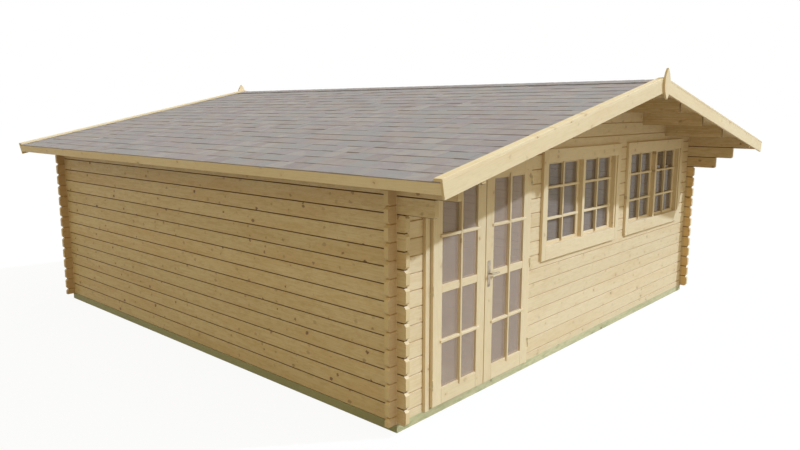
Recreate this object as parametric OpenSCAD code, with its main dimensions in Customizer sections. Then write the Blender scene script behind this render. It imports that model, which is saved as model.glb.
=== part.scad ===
/* [Walls] */
// Width of the cabin over the side walls, along the front
cabin_width = 6000; // [5200:20:7000]
// Length of the cabin over the front and back walls
cabin_length = 5960; // [4800:20:7000]
// Thickness of a wall log
log_thickness = 44; // [34:1:70]
// Height of one course of logs
log_height = 140; // [130:1:150]
// Number of full courses in a side wall
log_courses = 14; // [14:1:15]
// Depth of the V groove where two logs meet
groove = 6; // [2:0.5:10]
// Length of a log end past a crossed corner
log_end = 95; // [60:1:140]
// Cut on the upper and lower corner of a log end
log_end_chamfer = 24; // [10:1:40]
// Plain front wall left of the door: the four plain stretches share what the openings leave
wall_left_of_door = 308; // [200:1:400]
// Plain front wall between the door and the first window
wall_door_to_window = 221; // [150:1:350]
// Plain front wall between the two windows
wall_between_windows = 201; // [150:1:350]
// Plain front wall right of the second window
wall_right_of_windows = 316; // [200:1:400]

/* [Floor] */
// Height of the foundation beams
foundation_height = 76; // [50:1:120]
// Width of the foundation beams
foundation_width = 60; // [50:1:90]
// Number of floor joists
joist_count = 9; // [5:1:12]
// Width of a floor joist
joist_width = 45; // [35:1:70]
// Thickness of the floor boards
floor_thickness = 19; // [16:1:28]

/* [Roof] */
// Slope of the roof in degrees
roof_slope = 12; // [9:0.5:14]
// Length of the roof past the front wall
front_overhang = 795; // [760:5:900]
// Length of the roof past the back wall
back_overhang = 200; // [150:5:400]
// Length of the roof past each side wall
side_overhang = 454; // [300:2:600]
// Thickness of the roof boards
roof_board = 19; // [16:1:28]
// Thickness of the shingle layer
shingle = 8; // [4:1:15]
// Depth of a purlin
purlin_depth = 140; // [110:1:160]
// Distance between purlins
purlin_spacing = 710; // [650:5:740]
// How far the ends of the ridge beam and purlins stay behind the bargeboards
purlin_setback = 90; // [20:5:150]
// Height of a bargeboard
bargeboard_height = 119; // [90:1:160]
// Height of the fascia board along an eave
fascia_height = 80; // [50:1:110]
// Thickness of bargeboards, fascias and finials
trim_board = 20; // [15:1:28]
// Width of the cap board along a gable edge
cap_width = 73; // [50:1:110]
// Thickness of the cap board along a gable edge
cap_thickness = 22; // [15:1:35]

/* [Door] */
// Width of the door frame over its jambs
door_frame_width = 1554; // [1400:2:1700]
// Width of a jamb's face
jamb_face = 53; // [45:1:60]
// Thickness of a door leaf
leaf_thickness = 42; // [36:1:50]
// Width of a stile of a door leaf
leaf_stile = 116; // [90:1:130]
// Height of the top and bottom rails of a door leaf
leaf_rail = 141; // [110:1:170]
// Height of the middle rail of a door leaf
lock_rail = 66; // [50:1:90]

/* [Windows] */
// Width of a window over its trim
window_width = 1700; // [1500:2:1760]
// Width of the trim beside a window
window_side_trim = 77; // [60:1:100]
// Height of the trim above a window
window_top_trim = 129; // [100:1:150]
// Height of the trim below a window
window_bottom_trim = 140; // [110:1:160]
// Width of the post between the two sashes
window_post = 50; // [40:1:80]
// Width of the window frame that shows beside a sash
window_jamb = 33; // [20:1:50]
// Width of a sash's frame members
sash_stile = 54; // [40:1:70]
// Share of the glass height that lies between the middles of the two cross bars
middle_row_share = 0.405; // [0.34:0.005:0.45]
// Width of a glazing bar
bar_width = 24; // [15:1:35]
// Thickness of the glass
glass_thickness = 4; // [3:0.5:8]

/* [Clearances] */
// Gap between a door leaf and its jamb, threshold and head
leaf_gap = 6; // [5:0.5:9]
// Gap between the two door leaves
meeting_gap = 10; // [8:0.5:14]
// Radial gap around a hinge pin or a lever spindle
pin_gap = 1; // [0.5:0.1:2]

/* [Hidden] */
$fn = 48;

// A little length that makes a cutter pass through a face
through = 1;

side_x = cabin_width / 2;
inner_x = side_x - log_thickness;
front_y = -cabin_length / 2;
back_y = cabin_length / 2;

// Heights of the log courses: a side wall starts with a full log, front and back with half a log
side_base = foundation_height;
front_base = foundation_height + log_height / 2;
side_top = side_base + log_courses * log_height;
front_top = front_base + log_courses * log_height;
// The two uppermost full logs of a side wall carry the front overhang
bracket_logs = 2;
wall_logs = log_courses - bracket_logs;

// Height of the plate log under the eave, at its outer face
plate_height = 119;
slope_sin = sin(roof_slope);
slope_cos = cos(roof_slope);
slope_tan = tan(roof_slope);
roof_under_apex = side_top + plate_height + side_x * slope_tan;
// Gap between the sloping layers of the roof, which are pieces of their own
layer_gap = 0.2;
roof_apex = roof_under_apex + (roof_board + layer_gap) / slope_cos;
cap_top = shingle + cap_thickness;
// Distance down the slope from the ridge to the eave
slope_length = (side_x + side_overhang - cap_top * slope_sin) / slope_cos;
roof_front = front_y - front_overhang;
roof_back = back_y + back_overhang;
boards_front = roof_front + trim_board;
boards_back = roof_back - trim_board;

// The openings in the front wall end on log joints and are hidden under the trim
opening_lap = 40;
opening_top = front_top;
window_sill_course = 7;
opening_bottom = front_base + window_sill_course * log_height;
trim_proud = 30;
trim_over_opening = 46;
trim_under_opening = 76;
trim_top = opening_top + trim_over_opening;
window_trim_bottom = opening_bottom - trim_under_opening;

// The plain stretches of the front wall, from left to right
plain_parts = [wall_left_of_door, wall_door_to_window, wall_between_windows, wall_right_of_windows];
plain_sum = plain_parts * [1, 1, 1, 1];
plain_width = cabin_width - door_frame_width - 2 * window_width;
function plain_stretch(i) = plain_width * plain_parts[i] / plain_sum;

door_x = -side_x + plain_stretch(0);
door_middle = door_x + door_frame_width / 2;
window_x = [
    door_x + door_frame_width + plain_stretch(1),
    side_x - plain_stretch(3) - window_width
];

// The leaves stand proud of the frame's trim
jamb_lap = 25;
threshold_height = 23;
threshold_top = foundation_height + threshold_height;
leaf_bottom = threshold_top + leaf_gap;
head_face = 62;
head_bottom = trim_top - head_face;
leaf_top = head_bottom - leaf_gap;
leaf_proud = 60;
leaf_face = front_y - leaf_proud;
leaf_back = leaf_face + leaf_thickness;
leaf_width = door_frame_width / 2 - jamb_face - leaf_gap - meeting_gap / 2;
left_leaf_x = door_x + jamb_face + leaf_gap;
right_leaf_x = door_middle + meeting_gap / 2;
lock_rail_z = leaf_bottom + (leaf_top - leaf_bottom - lock_rail) / 2;
stop_depth = 12;
stop_clear = 8;
stop_face = leaf_back + stop_clear;
inner_trim = 16;
bar_proud = 15;
bar_over_stile = 30;
leaf_glass_inset = 18;
leaf_glass_y = leaf_face + leaf_glass_inset;

hinge_radius = 6.5;
hinge_height = 90;
hinge_inset = 200;
hinge_clear = 1.5;
hinge_peg_radius = 3.5;
hinge_peg_offset = 5;
hinge_strap = 3;
hinge_strap_length = 14;
hinge_pin_radius = 3;
hinge_y = leaf_face - hinge_radius - hinge_clear;
hinge_x = [door_x + jamb_face, door_x + door_frame_width - jamb_face];
hinge_z = [leaf_bottom + hinge_inset, (leaf_bottom + leaf_top) / 2, leaf_top - hinge_inset];
// Gap between the two knuckles of a hinge
knuckle_gap = 1;
// The upper knuckle closes over the pin, with a little room above its end
pin_cover = 10;
pin_end_gap = 1;

lever_inset = 50;
lever_rise = 46;
lever_x = right_leaf_x + lever_inset;
lever_z = lock_rail_z + lever_rise;
spindle_radius = 5;
plate_w = 42;
plate_h = 238;
plate_t = 6;
plate_below = 120;
lever_reach = 108;
lever_bar = 16;
lever_grip_radius = 9.6;
lever_stand = 42;

// The window frame lies a little behind the face of the trim, and the sashes behind a rebate in it
frame_recess = 12;
window_frame_y = front_y - trim_proud + frame_recess;
sash_recess = 60;
sash_depth = 40;
sash_y = front_y - trim_proud + sash_recess;
sash_back = sash_y + sash_depth;
sash_glass_inset = 18;
sash_glass_y = sash_y + sash_glass_inset;
sash_lap = 8;
rail_behind_bottom_trim = 24;
rail_behind_top_trim = 31;
sash_bar_over_rail = 22;

// A point of the right half of the roof: u down the slope from the ridge, h above the boards
function roof_point(u, h) = [
    u * slope_cos + h * slope_sin,
    roof_apex - u * slope_sin + h * slope_cos
];

// The same height h above the boards, on the ridge line
function ridge_point(h) = [0, roof_apex + h / slope_cos];

// Height of what carries the roof boards at a distance x from the ridge
function roof_under(x) = roof_under_apex - abs(x) * slope_tan;

module box(x0, x1, y0, y1, z0, z1) {
    translate([x0, y0, z0])
        cube([x1 - x0, y1 - y0, z1 - z0]);
}

// An outline in X and Z, made solid from y0 to y1
module along_y(y0, y1) {
    translate([0, y1, 0])
        rotate([90, 0, 0])
            linear_extrude(y1 - y0)
                children();
}

// An outline in Y and Z, made solid from x0 to x1
module along_x(x0, x1) {
    translate([x0, 0, 0])
        rotate([90, 0, 90])
            linear_extrude(x1 - x0)
                children();
}

module mirrored() {
    mirror([1, 0, 0])
        children();
}

// Section of a log, grooved on both faces where the next log lies
module log_section(a, b, z0, z1) {
    polygon([
        [a + groove, z0], [b - groove, z0], [b, z0 + groove], [b, z1 - groove],
        [b - groove, z1], [a + groove, z1], [a, z1 - groove], [a, z0 + groove]
    ]);
}

// Side view of a log with its corners cut at the ends that stand free
module log_outline(a, b, z0, z1, cut_a, cut_b) {
    polygon([
        [a + cut_a, z0], [b - cut_b, z0], [b, z0 + cut_b], [b, z1 - cut_b],
        [b - cut_b, z1], [a + cut_a, z1], [a, z1 - cut_a], [a, z0 + cut_a]
    ]);
}

module log_along_x(x0, x1, y0, z0, z1, cut_0, cut_1) {
    intersection() {
        along_x(x0, x1)
            log_section(y0, y0 + log_thickness, z0, z1);
        along_y(y0, y0 + log_thickness)
            log_outline(x0, x1, z0, z1, cut_0, cut_1);
    }
}

module log_along_y(y0, y1, x0, z0, z1, cut_0, cut_1) {
    intersection() {
        along_y(y0, y1)
            log_section(x0, x0 + log_thickness, z0, z1);
        along_x(x0, x0 + log_thickness)
            log_outline(y0, y1, z0, z1, cut_0, cut_1);
    }
}

// At a crossed corner every log keeps the middle half of its height.
// These are the slots that the logs of the other wall take there.
module notches(base, courses, x0, x1, y0, y1) {
    for (course = [0 : courses - 1])
        box(
            x0, x1, y0, y1,
            base + (course + 0.25) * log_height, base + (course + 0.75) * log_height
        );
}

module side_notches(x0, x1, y0, y1) {
    notches(side_base, log_courses, x0, x1, y0, y1);
    box(x0, x1, y0, y1, side_top + 0.25 * log_height, side_top + 3 * log_height);
}

module front_notches(x0, x1, y0, y1) {
    notches(front_base, log_courses, x0, x1, y0, y1);
    box(x0, x1, y0, y1, side_base - through, side_base + 0.25 * log_height);
}

// The slots of the front and back logs in a side wall on the right
module corner_slots() {
    for (y = [front_y, back_y - log_thickness])
        front_notches(inner_x - through, side_x + through, y, y + log_thickness);
}

// Foundation and floor
beam_joint = 0.5;
board_joint = 2;

module foundation_beams() {
    color("darkseagreen") {
        for (side = [-1, 1])
            box(
                side > 0 ? side_x - foundation_width : -side_x,
                side > 0 ? side_x : foundation_width - side_x,
                front_y, back_y, 0, foundation_height
            );
        for (y = [front_y, back_y - foundation_width])
            box(
                foundation_width - side_x + beam_joint, side_x - foundation_width - beam_joint,
                y, y + foundation_width, 0, foundation_height
            );
    }
}

joist_run = cabin_length - 2 * foundation_width;
joist_pitch = joist_run / (joist_count + 1);

module floor_joists() {
    color("darkseagreen")
        for (i = [1 : joist_count]) {
            y = front_y + foundation_width + i * joist_pitch - joist_width / 2;
            box(
                foundation_width - side_x + beam_joint, side_x - foundation_width - beam_joint,
                y, y + joist_width, 0, foundation_height
            );
        }
}

module floor_boards() {
    color("burlywood")
        box(
            board_joint - inner_x, inner_x - board_joint,
            front_y + log_thickness + inner_trim + board_joint, back_y - log_thickness - board_joint,
            foundation_height, foundation_height + floor_thickness
        );
}

// Side walls
module right_wall() {
    color("wheat")
        difference() {
            for (course = [0 : wall_logs - 1])
                log_along_y(
                    front_y - log_end, back_y + log_end, inner_x,
                    side_base + course * log_height, side_base + (course + 1) * log_height,
                    log_end_chamfer, log_end_chamfer
                );
            corner_slots();
        }
}

module left_wall() {
    mirrored()
        right_wall();
}

// The end of a bracket log is square above and round below
bracket_round = 22;
bracket_reach = [370, 576];

module bracket_outline(a, b, z0, z1) {
    difference() {
        polygon([
            [a, z0], [b - log_end_chamfer, z0], [b, z0 + log_end_chamfer],
            [b, z1 - log_end_chamfer], [b - log_end_chamfer, z1], [a, z1]
        ]);
        difference() {
            translate([a - through, z0 - through])
                square(bracket_round + through);
            translate([a + bracket_round, z0 + bracket_round])
                circle(bracket_round);
        }
    }
}

module plate_log() {
    along_y(boards_front, boards_back)
        polygon([
            [inner_x + groove, side_top], [side_x - groove, side_top],
            [side_x, side_top + groove], [side_x, roof_under(side_x)],
            [inner_x, roof_under(inner_x)], [inner_x, side_top + groove]
        ]);
}

module bracket_log(i) {
    y0 = front_y - bracket_reach[i];
    y1 = back_y + log_end;
    z0 = side_base + (wall_logs + i) * log_height;
    z1 = z0 + log_height;
    intersection() {
        along_y(y0, y1)
            log_section(inner_x, side_x, z0, z1);
        along_x(inner_x, side_x)
            bracket_outline(y0, y1, z0, z1);
    }
}

module right_upper_logs() {
    color("wheat")
        difference() {
            union() {
                for (i = [0 : bracket_logs - 1])
                    bracket_log(i);
                plate_log();
            }
            corner_slots();
        }
}

module left_upper_logs() {
    mirrored()
        right_upper_logs();
}

// Front and back walls: half a log below, then full courses
module front_courses(x0, x1, y, cut_0, cut_1, first, last) {
    if (first == 0)
        intersection() {
            log_along_x(
                x0, x1, y, side_base - log_height / 2, front_base, cut_0, cut_1
            );
            box(x0, x1, y, y + log_thickness, side_base, front_base);
        }
    for (course = [first : last - 1])
        log_along_x(
            x0, x1, y,
            front_base + course * log_height, front_base + (course + 1) * log_height,
            cut_0, cut_1
        );
}

module side_slots(y) {
    for (x = [-side_x, inner_x])
        side_notches(x, x + log_thickness, y - through, y + log_thickness + through);
}

module back_wall() {
    y = back_y - log_thickness;
    color("wheat")
        difference() {
            front_courses(
                -side_x - log_end, side_x + log_end, y,
                log_end_chamfer, log_end_chamfer, 0, log_courses
            );
            side_slots(y);
        }
}

module front_wall_left_of_door() {
    color("wheat")
        difference() {
            front_courses(
                -side_x - log_end, door_x + jamb_lap, front_y,
                log_end_chamfer, 0, 0, log_courses
            );
            side_slots(front_y);
        }
}

module front_wall_door_to_window() {
    color("wheat")
        front_courses(
            door_x + door_frame_width - jamb_lap, window_x[0] + opening_lap, front_y,
            0, 0, 0, log_courses
        );
}

module front_wall_below_windows() {
    color("wheat")
        front_courses(
            window_x[0] + opening_lap, window_x[1] + window_width - opening_lap, front_y,
            0, 0, 0, window_sill_course
        );
}

module front_wall_between_windows() {
    color("wheat")
        front_courses(
            window_x[0] + window_width - opening_lap, window_x[1] + opening_lap, front_y,
            0, 0, window_sill_course, log_courses
        );
}

module front_wall_right_of_windows() {
    color("wheat")
        difference() {
            front_courses(
                window_x[1] + window_width - opening_lap, side_x + log_end, front_y,
                0, log_end_chamfer, 0, log_courses
            );
            side_slots(front_y);
        }
}

// Gables: full logs cut to the slope, with a slot for every purlin
purlin_rows = 3;
gable_courses = ceil((roof_under_apex - front_top) / log_height);

module purlin_outline(x) {
    half = log_thickness / 2;
    polygon([
        [x - half, roof_under(x) - purlin_depth], [x + half, roof_under(x) - purlin_depth],
        [x + half, roof_under(x + half)], [x - half, roof_under(x - half)]
    ]);
}

module ridge_outline() {
    half = log_thickness / 2;
    polygon([
        [-half, roof_under_apex - purlin_depth], [half, roof_under_apex - purlin_depth],
        [half, roof_under(half)], [0, roof_under_apex], [-half, roof_under(half)]
    ]);
}

module purlin_slots(y0, y1) {
    half = log_thickness / 2;
    box(-half, half, y0, y1, roof_under_apex - purlin_depth, roof_under_apex + through);
    for (side = [-1, 1], row = [1 : purlin_rows]) {
        x = side * row * purlin_spacing;
        box(x - half, x + half, y0, y1, roof_under(x) - purlin_depth, roof_apex);
    }
}

module gable(y) {
    color("wheat")
        difference() {
            intersection() {
                for (course = [0 : gable_courses - 1])
                    along_x(-inner_x, inner_x)
                        log_section(
                            y, y + log_thickness,
                            front_top + course * log_height, front_top + (course + 1) * log_height
                        );
                along_y(y, y + log_thickness)
                    polygon([
                        [-inner_x, front_top], [inner_x, front_top], [inner_x, roof_under(inner_x)],
                        [0, roof_under_apex], [-inner_x, roof_under(inner_x)]
                    ]);
            }
            purlin_slots(y - through, y + log_thickness + through);
        }
}

module front_gable() {
    gable(front_y);
}

module back_gable() {
    gable(back_y - log_thickness);
}

// Roof
module ridge_beam() {
    color("wheat")
        along_y(boards_front + purlin_setback, boards_back - purlin_setback)
            ridge_outline();
}

module purlins() {
    color("wheat")
        along_y(boards_front + purlin_setback, boards_back - purlin_setback)
            for (side = [-1, 1], row = [1 : purlin_rows])
                purlin_outline(side * row * purlin_spacing);
}

// A layer of the right slope, from the ridge to a distance u down the slope
module slope_layer(y0, y1, h0, h1, u) {
    along_y(y0, y1)
        polygon([ridge_point(h0), roof_point(u, h0), roof_point(u, h1), ridge_point(h1)]);
}

module right_roof_boards() {
    color("wheat")
        slope_layer(
            boards_front, boards_back, -roof_board, 0, slope_length - trim_board - layer_gap
        );
}

module left_roof_boards() {
    mirrored()
        right_roof_boards();
}

module right_shingles() {
    color("rosybrown")
        slope_layer(boards_front, boards_back, layer_gap, shingle, slope_length);
}

module left_shingles() {
    mirrored()
        right_shingles();
}

// The strip over the ridge reaches this far down each slope
ridge_cap_reach = 150;
ridge_cap_thickness = 5;

module ridge_cap_half() {
    slope_layer(
        roof_front + cap_width, roof_back - cap_width,
        shingle + layer_gap, shingle + ridge_cap_thickness, ridge_cap_reach
    );
}

module ridge_cap() {
    color("rosybrown") {
        ridge_cap_half();
        mirrored()
            ridge_cap_half();
    }
}

module right_eave_fascia() {
    color("wheat")
        along_y(boards_front, boards_back)
            polygon([
                roof_point(slope_length - trim_board, -fascia_height),
                roof_point(slope_length, -fascia_height),
                roof_point(slope_length, 0), roof_point(slope_length - trim_board, 0)
            ]);
}

module left_eave_fascia() {
    mirrored()
        right_eave_fascia();
}

module bargeboard_pair(y0) {
    color("cornsilk") {
        slope_layer(y0, y0 + trim_board, shingle - bargeboard_height, shingle, slope_length);
        mirrored()
            slope_layer(y0, y0 + trim_board, shingle - bargeboard_height, shingle, slope_length);
    }
}

module front_bargeboards() {
    bargeboard_pair(roof_front);
}

module back_bargeboards() {
    bargeboard_pair(roof_back - trim_board);
}

module verge_caps() {
    color("cornsilk")
        for (y = [roof_front, roof_back - cap_width]) {
            slope_layer(y, y + cap_width, shingle + layer_gap, cap_top, slope_length);
            mirrored()
                slope_layer(y, y + cap_width, shingle + layer_gap, cap_top, slope_length);
        }
}

// A pointed leaf: two arcs that meet above and below
finial_height = 300;
finial_width = 132;
finial_rise = 86;
finial_radius = (pow(finial_height / 2, 2) + pow(finial_width / 2, 2)) / finial_width;

module finial(y0) {
    z = ridge_point(cap_top)[1] + finial_rise - finial_height / 2;
    color("cornsilk")
        along_y(y0, y0 + trim_board)
            intersection() {
                translate([finial_width / 2 - finial_radius, z])
                    circle(finial_radius, $fn = 96);
                translate([finial_radius - finial_width / 2, z])
                    circle(finial_radius, $fn = 96);
            }
}

module front_finial() {
    finial(roof_front - trim_board);
}

module back_finial() {
    finial(roof_back);
}

// Door
module door_frame() {
    x0 = door_x;
    x1 = door_x + door_frame_width;
    color("cornsilk")
        difference() {
            union() {
                box(x0, x1, front_y - trim_proud, front_y, foundation_height, trim_top);
                box(
                    x0 + jamb_lap, x1 - jamb_lap, front_y, front_y + log_thickness + inner_trim,
                    foundation_height, opening_top
                );
            }
            box(
                x0 + jamb_face, x1 - jamb_face, front_y - trim_proud - through, stop_face,
                threshold_top, head_bottom
            );
            box(
                x0 + jamb_face + stop_depth, x1 - jamb_face - stop_depth,
                stop_face - through, front_y + log_thickness + inner_trim + through,
                threshold_top, head_bottom - stop_depth
            );
            box(
                x0 + jamb_face, x1 - jamb_face, front_y - trim_proud - through, front_y,
                foundation_height - through, threshold_top
            );
        }
}

module leaf_bars(x0, x1, z0, z1) {
    middle = (x0 + x1) / 2;
    half = bar_width / 2;
    low_bar = (z0 + lock_rail_z) / 2;
    high_bar = (lock_rail_z + lock_rail + z1) / 2;
    box(
        middle - half, middle + half, leaf_face - bar_proud, leaf_face,
        z0 - bar_over_stile, z1 + bar_over_stile
    );
    box(middle - half, middle + half, leaf_face, leaf_glass_y, z0, z1);
    for (z = [low_bar, high_bar]) {
        box(
            x0 - bar_over_stile, x1 + bar_over_stile, leaf_face - bar_proud, leaf_face,
            z - half, z + half
        );
        box(x0, x1, leaf_face, leaf_glass_y, z - half, z + half);
    }
}

module door_leaf(x) {
    x0 = x + leaf_stile;
    x1 = x + leaf_width - leaf_stile;
    z0 = leaf_bottom + leaf_rail;
    z1 = leaf_top - leaf_rail;
    difference() {
        box(x, x + leaf_width, leaf_face, leaf_back, leaf_bottom, leaf_top);
        box(x0, x1, leaf_face - through, leaf_back + through, z0, lock_rail_z);
        box(x0, x1, leaf_face - through, leaf_back + through, lock_rail_z + lock_rail, z1);
    }
    leaf_bars(x0, x1, z0, z1);
}

module door_glass(x) {
    x0 = x + leaf_stile;
    x1 = x + leaf_width - leaf_stile;
    color("slategray", 0.5) {
        box(
            x0, x1, leaf_glass_y, leaf_glass_y + glass_thickness,
            leaf_bottom + leaf_rail, lock_rail_z
        );
        box(
            x0, x1, leaf_glass_y, leaf_glass_y + glass_thickness,
            lock_rail_z + lock_rail, leaf_top - leaf_rail
        );
    }
}

module left_door_leaf() {
    color("cornsilk")
        door_leaf(left_leaf_x);
}

module left_door_glass() {
    door_glass(left_leaf_x);
}

module spindle_hole() {
    translate([lever_x, leaf_back + lever_stand, lever_z])
        rotate([90, 0, 0])
            cylinder(h = leaf_thickness + 2 * lever_stand, r = spindle_radius + pin_gap);
}

module right_door_leaf() {
    color("cornsilk")
        difference() {
            door_leaf(right_leaf_x);
            spindle_hole();
        }
}

module right_door_glass() {
    door_glass(right_leaf_x);
}

// Each hinge has a knuckle on the frame with a pin, and one on the leaf that turns on it.
// A peg holds the knuckle off the jamb, so that the leaf swings clear of the trim.
module frame_knuckle(x, side, z) {
    translate([x, hinge_y, z - hinge_height / 2])
        cylinder(h = hinge_height / 2 - knuckle_gap, r = hinge_radius);
    translate([x, hinge_y, z - hinge_height / 2])
        cylinder(h = hinge_height - pin_cover, r = hinge_pin_radius);
    translate([x - side * hinge_peg_offset, front_y - trim_proud, z - hinge_height / 4])
        rotate([90, 0, 0])
            cylinder(h = front_y - trim_proud - hinge_y, r = hinge_peg_radius);
}

module door_hinge_pins() {
    color("dimgray")
        for (z = hinge_z) {
            frame_knuckle(hinge_x[0], 1, z);
            frame_knuckle(hinge_x[1], -1, z);
        }
}

module leaf_knuckles(x, side) {
    bore = hinge_height / 2 - pin_cover + pin_end_gap;
    color("dimgray")
        for (z = hinge_z)
            difference() {
                union() {
                    translate([x, hinge_y, z])
                        cylinder(h = hinge_height / 2, r = hinge_radius);
                    box(
                        side > 0 ? x : x - hinge_strap_length, side > 0 ? x + hinge_strap_length : x,
                        leaf_face - hinge_strap, leaf_face, z, z + hinge_height / 2
                    );
                }
                translate([x, hinge_y, z - through])
                    cylinder(h = bore + through, r = hinge_pin_radius + pin_gap);
            }
}

module left_door_hinges() {
    leaf_knuckles(hinge_x[0], 1);
}

module right_door_hinges() {
    leaf_knuckles(hinge_x[1], -1);
}

module door_handle_plates() {
    color("silver")
        difference() {
            for (y = [leaf_face - plate_t, leaf_back])
                box(
                    lever_x - plate_w / 2, lever_x + plate_w / 2, y, y + plate_t,
                    lever_z - plate_below, lever_z - plate_below + plate_h
                );
            spindle_hole();
        }
}

module door_lever() {
    reach_out = leaf_face - plate_t - lever_stand;
    reach_in = leaf_back + plate_t + lever_stand;
    color("silver") {
        translate([lever_x, reach_in, lever_z])
            rotate([90, 0, 0])
                cylinder(h = reach_in - reach_out, r = spindle_radius);
        for (y = [reach_out, reach_in - lever_bar])
            intersection() {
                box(
                    lever_x - lever_bar / 2, lever_x + lever_reach, y, y + lever_bar,
                    lever_z - lever_bar / 2, lever_z + lever_bar / 2
                );
                translate([lever_x - lever_bar / 2, y + lever_bar / 2, lever_z])
                    rotate([0, 90, 0])
                        cylinder(h = lever_reach + lever_bar, r = lever_grip_radius);
            }
    }
}

// Windows
sash_bottom = window_trim_bottom + window_bottom_trim - rail_behind_bottom_trim;
sash_top = trim_top - window_top_trim + rail_behind_top_trim;
glass_bottom = sash_bottom + sash_stile;
glass_top = sash_top - sash_stile;
row_middle = (glass_bottom + glass_top) / 2;
row_reach = (glass_top - glass_bottom) * middle_row_share / 2;

// The two sashes of a window: [left edge, right edge] of each
function sash_edges(x) =
    let (left = x + window_side_trim + window_jamb)
    let (right = x + window_width - window_side_trim - window_jamb)
    let (middle = (left + right) / 2, half = window_post / 2 - sash_lap)
    [[left, middle - half], [middle + half, right]];

// What each sash leaves in sight from outside
function sash_view(x) =
    let (edges = sash_edges(x))
    [[edges[0][0], edges[0][1] - sash_lap], [edges[1][0] + sash_lap, edges[1][1]]];

module window_frame(x) {
    x1 = x + window_width;
    left = x + window_side_trim;
    right = x1 - window_side_trim;
    bottom = window_trim_bottom + window_bottom_trim;
    top = trim_top - window_top_trim;
    color("cornsilk") {
        difference() {
            box(x, x1, front_y - trim_proud, front_y, window_trim_bottom, trim_top);
            box(left, right, front_y - trim_proud - through, front_y + through, bottom, top);
        }
        difference() {
            box(
                x + opening_lap, x1 - opening_lap, window_frame_y, sash_back,
                opening_bottom, opening_top
            );
            for (edge = sash_view(x))
                box(edge[0], edge[1], window_frame_y - through, sash_back + through, bottom, top);
            for (edge = sash_edges(x))
                box(edge[0], edge[1], sash_y, sash_back + through, sash_bottom, sash_top);
        }
    }
}

module sash_bars(x0, x1) {
    half = bar_width / 2;
    middle = (x0 + x1) / 2;
    box(
        middle - half, middle + half, sash_y - bar_proud, sash_y,
        glass_bottom - sash_bar_over_rail, glass_top + sash_bar_over_rail
    );
    box(middle - half, middle + half, sash_y, sash_glass_y, glass_bottom, glass_top);
    for (z = [row_middle - row_reach, row_middle + row_reach]) {
        box(
            x0 - bar_over_stile, x1 + bar_over_stile, sash_y - bar_proud, sash_y,
            z - half, z + half
        );
        box(x0, x1, sash_y, sash_glass_y, z - half, z + half);
    }
}

module window_sashes(x) {
    color("cornsilk")
        for (edge = sash_edges(x)) {
            difference() {
                box(edge[0], edge[1], sash_y, sash_back, sash_bottom, sash_top);
                box(
                    edge[0] + sash_stile, edge[1] - sash_stile,
                    sash_y - through, sash_back + through, glass_bottom, glass_top
                );
            }
            sash_bars(edge[0] + sash_stile, edge[1] - sash_stile);
        }
}

module window_glass(x) {
    color("slategray", 0.5)
        for (edge = sash_edges(x))
            box(
                edge[0] + sash_stile, edge[1] - sash_stile,
                sash_glass_y, sash_glass_y + glass_thickness, glass_bottom, glass_top
            );
}

module window_1_frame() {
    window_frame(window_x[0]);
}

module window_1_sashes() {
    window_sashes(window_x[0]);
}

module window_1_glass() {
    window_glass(window_x[0]);
}

module window_2_frame() {
    window_frame(window_x[1]);
}

module window_2_sashes() {
    window_sashes(window_x[1]);
}

module window_2_glass() {
    window_glass(window_x[1]);
}

foundation_beams();
floor_joists();
floor_boards();
left_wall();
right_wall();
left_upper_logs();
right_upper_logs();
back_wall();
back_gable();
front_wall_left_of_door();
front_wall_door_to_window();
front_wall_below_windows();
front_wall_between_windows();
front_wall_right_of_windows();
front_gable();
ridge_beam();
purlins();
left_roof_boards();
right_roof_boards();
left_shingles();
right_shingles();
ridge_cap();
left_eave_fascia();
right_eave_fascia();
front_bargeboards();
back_bargeboards();
verge_caps();
front_finial();
back_finial();
door_frame();
door_hinge_pins();
window_1_frame();
window_1_sashes();
window_1_glass();
window_2_frame();
window_2_sashes();
window_2_glass();
left_door_leaf();
left_door_glass();
left_door_hinges();
right_door_leaf();
right_door_glass();
right_door_hinges();
door_handle_plates();
door_lever();
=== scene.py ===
"""Looks of a log cabin, built around its packed construction model.

Lengths are in metres, in the frame of the model: X to the right, Y to the back, Z up.
"""

import math
import random

import bmesh
import bpy
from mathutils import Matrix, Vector


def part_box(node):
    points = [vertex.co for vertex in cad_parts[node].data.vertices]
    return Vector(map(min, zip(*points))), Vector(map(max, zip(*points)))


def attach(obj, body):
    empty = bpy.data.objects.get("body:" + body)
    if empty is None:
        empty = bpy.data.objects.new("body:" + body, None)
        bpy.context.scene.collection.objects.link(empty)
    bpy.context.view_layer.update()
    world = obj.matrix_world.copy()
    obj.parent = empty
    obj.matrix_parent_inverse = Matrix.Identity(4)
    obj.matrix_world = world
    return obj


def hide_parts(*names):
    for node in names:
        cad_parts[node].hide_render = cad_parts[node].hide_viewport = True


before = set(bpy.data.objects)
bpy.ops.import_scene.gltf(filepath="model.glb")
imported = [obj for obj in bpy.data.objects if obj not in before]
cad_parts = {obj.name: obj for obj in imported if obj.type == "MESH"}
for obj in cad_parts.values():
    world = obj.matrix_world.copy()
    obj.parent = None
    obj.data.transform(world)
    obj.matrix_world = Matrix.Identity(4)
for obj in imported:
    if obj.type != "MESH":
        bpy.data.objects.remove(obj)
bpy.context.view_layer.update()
rng = random.Random(14)

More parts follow.
